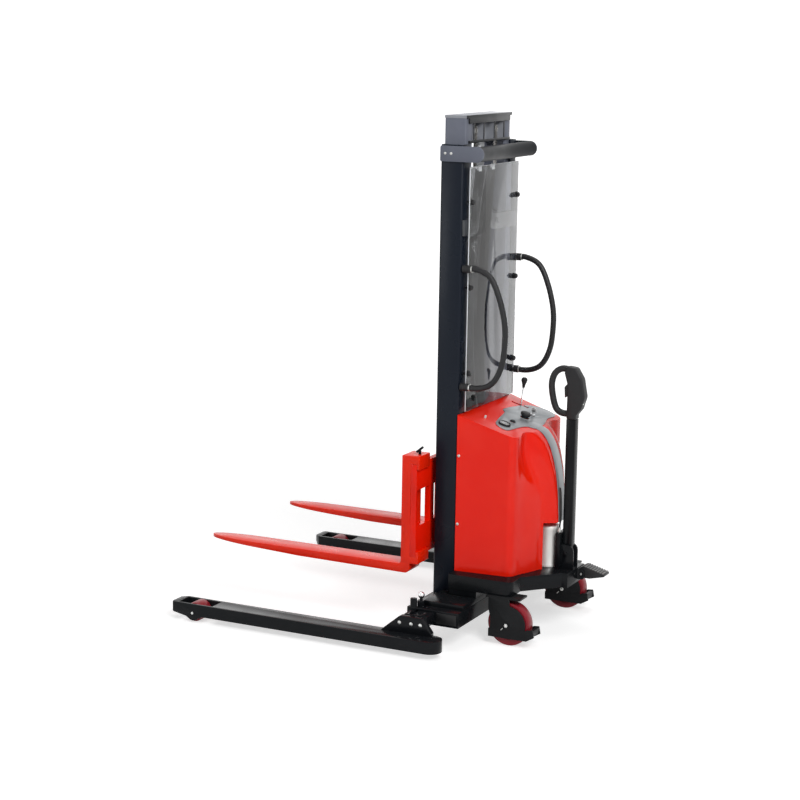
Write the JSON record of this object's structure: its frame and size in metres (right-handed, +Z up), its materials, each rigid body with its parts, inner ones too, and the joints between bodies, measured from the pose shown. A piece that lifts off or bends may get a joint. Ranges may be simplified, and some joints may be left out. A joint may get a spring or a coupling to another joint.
{
  "type": "electric pallet truck",
  "caption": "Straddle stacker truck: pedestrian tiller, two-stage lifting mast, adjustable straddle legs, forks on a carriage, rear swivel castors and a powered lift.",
  "frame": {"origin": "centre of the footprint, on the floor", "axes": "+Y forward to the fork tips, +X to the truck's right, +Z up"},
  "size_m": [1.352, 1.663, 2.1105],
  "materials": {
    "black_paint": "gloss",
    "black_plastic": "matte",
    "black_steel": "satin",
    "bright_steel": "polished",
    "clear_acrylic": "clear",
    "crimson_polyurethane": "smooth",
    "dark_grey_paint": "satin",
    "grey_paint": "satin",
    "grey_rubber_tread": "ribbed",
    "oiled_steel": "oiled",
    "red_paint": "gloss",
    "silver_motor_can": "satin",
    "silver_plastic": "satin"
  },
  "bodies": {
    "chassis": {"cross_beam": "black_paint", "chassis_plate": "black_paint", "chassis_tray": "black_paint", "mast_outer_left": "black_paint", "mast_outer_right": "black_paint", "mast_tie": "grey_paint", "mast_cross_upper": "dark_grey_paint", "guard_screen": "clear_acrylic", "grab_handle_left": "black_plastic", "grab_handle_right": "black_plastic", "lift_cylinder": "black_paint", "cover": "red_paint", "console_trim": "silver_plastic", "battery_gauge": "black_plastic", "pump_motor": "silver_motor_can", "battery": "black_plastic", "hydraulic_tank": "black_paint", "tiller_base": "black_paint", "control_cable": "black_plastic"},
    "moving_mast": {"inner_mast_left": "grey_paint", "inner_mast_right": "grey_paint", "inner_head": "black_paint", "inner_cross_lower": "black_paint", "lift_chain_left": "oiled_steel", "lift_chain_right": "oiled_steel", "piston_rod": "bright_steel"},
    "carriage": {"carriage_frame": "red_paint"},
    "pulley_left": {"chain_pulley_left": "bright_steel"},
    "mast_roller_left": {"mast_roller_left": "oiled_steel"},
    "carriage_roller_lower_left": {"carriage_roller_lower_left": "oiled_steel"},
    "carriage_roller_upper_left": {"carriage_roller_upper_left": "oiled_steel"},
    "fork_left": {"fork_left": "red_paint"},
    "fork_pin_left": {"fork_pin_left": "black_steel"},
    "leg_left": {"leg_left": "black_paint", "leg_slide_left": "black_paint"},
    "load_roller_left": {"load_roller_left": "crimson_polyurethane"},
    "leg_lock_left": {"leg_lock_left": "bright_steel"},
    "castor_left": {"castor_fork_left": "black_paint"},
    "castor_wheel_left": {"castor_wheel_left": "crimson_polyurethane"},
    "pulley_right": {"chain_pulley_right": "bright_steel"},
    "mast_roller_right": {"mast_roller_right": "oiled_steel"},
    "carriage_roller_lower_right": {"carriage_roller_lower_right": "oiled_steel"},
    "carriage_roller_upper_right": {"carriage_roller_upper_right": "oiled_steel"},
    "fork_right": {"fork_right": "red_paint"},
    "fork_pin_right": {"fork_pin_right": "black_steel"},
    "leg_right": {"leg_right": "black_paint", "leg_slide_right": "black_paint"},
    "load_roller_right": {"load_roller_right": "crimson_polyurethane"},
    "leg_lock_right": {"leg_lock_right": "bright_steel"},
    "castor_right": {"castor_fork_right": "black_paint"},
    "castor_wheel_right": {"castor_wheel_right": "crimson_polyurethane"},
    "tiller": {"tiller": "black_steel", "tiller_head": "black_plastic"},
    "brake_pedal": {"brake_pedal": "grey_rubber_tread"},
    "lift_lever": {"lift_lever": "bright_steel"},
    "key_switch": {"key_switch": "bright_steel"},
    "stop_button": {"stop_button": "black_plastic"},
    "push_button": {"push_button": "black_plastic"}
  },
  "joints": [
    {"name": "mast_lift", "type": "slide", "parent": "chassis", "child": "moving_mast", "axis": [0, 0, 1], "range_m": [-0.1, 1.25]},
    {"name": "carriage_lift", "type": "slide", "parent": "moving_mast", "child": "carriage", "axis": [0, 0, 1], "range_m": [-0.1, 1.25]},
    {"name": "pulley_spin_left", "type": "hinge", "parent": "moving_mast", "child": "pulley_left", "pos_m": [-0.1, -0.2295, 2.045], "axis": [1, 0, 0], "range_deg": [-180, 2112]},
    {"name": "mast_roller_spin_left", "type": "hinge", "parent": "moving_mast", "child": "mast_roller_left", "pos_m": [-0.2425, -0.2385, 0.36], "axis": [1, 0, 0], "range_deg": [-152, 1775]},
    {"name": "carriage_roller_spin_lower_left", "type": "hinge", "parent": "carriage", "child": "carriage_roller_lower_left", "pos_m": [-0.198, -0.23, 0.415], "axis": [1, 0, 0], "range_deg": [-158, 1840]},
    {"name": "carriage_roller_spin_upper_left", "type": "hinge", "parent": "carriage", "child": "carriage_roller_upper_left", "pos_m": [-0.198, -0.23, 0.65], "axis": [1, 0, 0], "range_deg": [-1840, 158]},
    {"name": "fork_slide_left", "type": "slide", "parent": "carriage", "child": "fork_left", "axis": [1, 0, 0], "range_m": [0, 0.22]},
    {"name": "fork_pin_lift_left", "type": "slide", "parent": "fork_left", "child": "fork_pin_left", "axis": [0, 0, 1], "range_m": [0, 0.01], "stiffness_N_per_m": 300},
    {"name": "leg_slide_left", "type": "slide", "parent": "chassis", "child": "leg_left", "axis": [1, 0, 0], "range_m": [-0.1, 0.068]},
    {"name": "load_roller_spin_left", "type": "hinge", "parent": "leg_left", "child": "load_roller_left", "pos_m": [-0.622, 0.7215, 0.04], "axis": [1, 0, 0], "continuous": true},
    {"name": "leg_lock_lift_left", "type": "slide", "parent": "chassis", "child": "leg_lock_left", "axis": [0, 0, 1], "range_m": [0, 0.012], "stiffness_N_per_m": 400},
    {"name": "castor_swivel_left", "type": "hinge", "parent": "chassis", "child": "castor_left", "pos_m": [-0.304, -0.5355, 0.2035], "axis": [0, 0, 1], "continuous": true},
    {"name": "castor_wheel_spin_left", "type": "hinge", "parent": "castor_left", "child": "castor_wheel_left", "pos_m": [-0.304, -0.5565, 0.09], "axis": [1, 0, 0], "continuous": true},
    {"name": "pulley_spin_right", "type": "hinge", "parent": "moving_mast", "child": "pulley_right", "pos_m": [0.1, -0.2295, 2.045], "axis": [1, 0, 0], "range_deg": [-180, 2112]},
    {"name": "mast_roller_spin_right", "type": "hinge", "parent": "moving_mast", "child": "mast_roller_right", "pos_m": [0.2425, -0.2385, 0.36], "axis": [1, 0, 0], "range_deg": [-152, 1775]},
    {"name": "carriage_roller_spin_lower_right", "type": "hinge", "parent": "carriage", "child": "carriage_roller_lower_right", "pos_m": [0.198, -0.23, 0.415], "axis": [1, 0, 0], "range_deg": [-158, 1840]},
    {"name": "carriage_roller_spin_upper_right", "type": "hinge", "parent": "carriage", "child": "carriage_roller_upper_right", "pos_m": [0.198, -0.23, 0.65], "axis": [1, 0, 0], "range_deg": [-1840, 158]},
    {"name": "fork_slide_right", "type": "slide", "parent": "carriage", "child": "fork_right", "axis": [-1, 0, 0], "range_m": [0, 0.22]},
    {"name": "fork_pin_lift_right", "type": "slide", "parent": "fork_right", "child": "fork_pin_right", "axis": [0, 0, 1], "range_m": [0, 0.01], "stiffness_N_per_m": 300},
    {"name": "leg_slide_right", "type": "slide", "parent": "chassis", "child": "leg_right", "axis": [-1, 0, 0], "range_m": [-0.1, 0.068]},
    {"name": "load_roller_spin_right", "type": "hinge", "parent": "leg_right", "child": "load_roller_right", "pos_m": [0.622, 0.7215, 0.04], "axis": [1, 0, 0], "continuous": true},
    {"name": "leg_lock_lift_right", "type": "slide", "parent": "chassis", "child": "leg_lock_right", "axis": [0, 0, 1], "range_m": [0, 0.012], "stiffness_N_per_m": 400},
    {"name": "castor_swivel_right", "type": "hinge", "parent": "chassis", "child": "castor_right", "pos_m": [0.304, -0.5355, 0.2035], "axis": [0, 0, 1], "continuous": true},
    {"name": "castor_wheel_spin_right", "type": "hinge", "parent": "castor_right", "child": "castor_wheel_right", "pos_m": [0.304, -0.5565, 0.09], "axis": [1, 0, 0], "continuous": true},
    {"name": "tiller_tilt", "type": "hinge", "parent": "chassis", "child": "tiller", "pos_m": [0, -0.6795, 0.33], "axis": [1, 0, 0], "range_deg": [0, 60], "stiffness_Nm_per_rad": 60, "springref_deg": -11.46},
    {"name": "pedal_press", "type": "hinge", "parent": "chassis", "child": "brake_pedal", "pos_m": [0.054, -0.7325, 0.24], "axis": [1, 0, 0], "range_deg": [0, 12]},
    {"name": "lever_swing", "type": "hinge", "parent": "chassis", "child": "lift_lever", "pos_m": [0.18, -0.3695, 0.842], "axis": [1, 0, 0], "range_deg": [-18, 18], "stiffness_Nm_per_rad": 4},
    {"name": "key_turn", "type": "hinge", "parent": "chassis", "child": "key_switch", "pos_m": [0.108, -0.4575, 0.86227], "axis": [0, -0.2935, 0.956], "range_deg": [-90, 0]},
    {"name": "stop_press", "type": "slide", "parent": "chassis", "child": "stop_button", "axis": [0, 0.2935, -0.956], "range_m": [0, 0.005]},
    {"name": "button_press", "type": "slide", "parent": "chassis", "child": "push_button", "axis": [0, 0.2935, -0.956], "range_m": [0, 0.004], "stiffness_N_per_m": 500, "springref_m": -0.001}
  ],
  "couplings": [
    {"joint": "carriage_lift", "follows": "mast_lift", "ratio": 1},
    {"joint": "pulley_spin_left", "follows": "mast_lift", "rad_per_m": 29.412},
    {"joint": "mast_roller_spin_left", "follows": "mast_lift", "rad_per_m": 24.691},
    {"joint": "carriage_roller_spin_lower_left", "follows": "mast_lift", "rad_per_m": 25.641},
    {"joint": "carriage_roller_spin_upper_left", "follows": "mast_lift", "rad_per_m": -25.641},
    {"joint": "pulley_spin_right", "follows": "mast_lift", "rad_per_m": 29.412},
    {"joint": "mast_roller_spin_right", "follows": "mast_lift", "rad_per_m": 24.691},
    {"joint": "carriage_roller_spin_lower_right", "follows": "mast_lift", "rad_per_m": 25.641},
    {"joint": "carriage_roller_spin_upper_right", "follows": "mast_lift", "rad_per_m": -25.641}
  ]
}
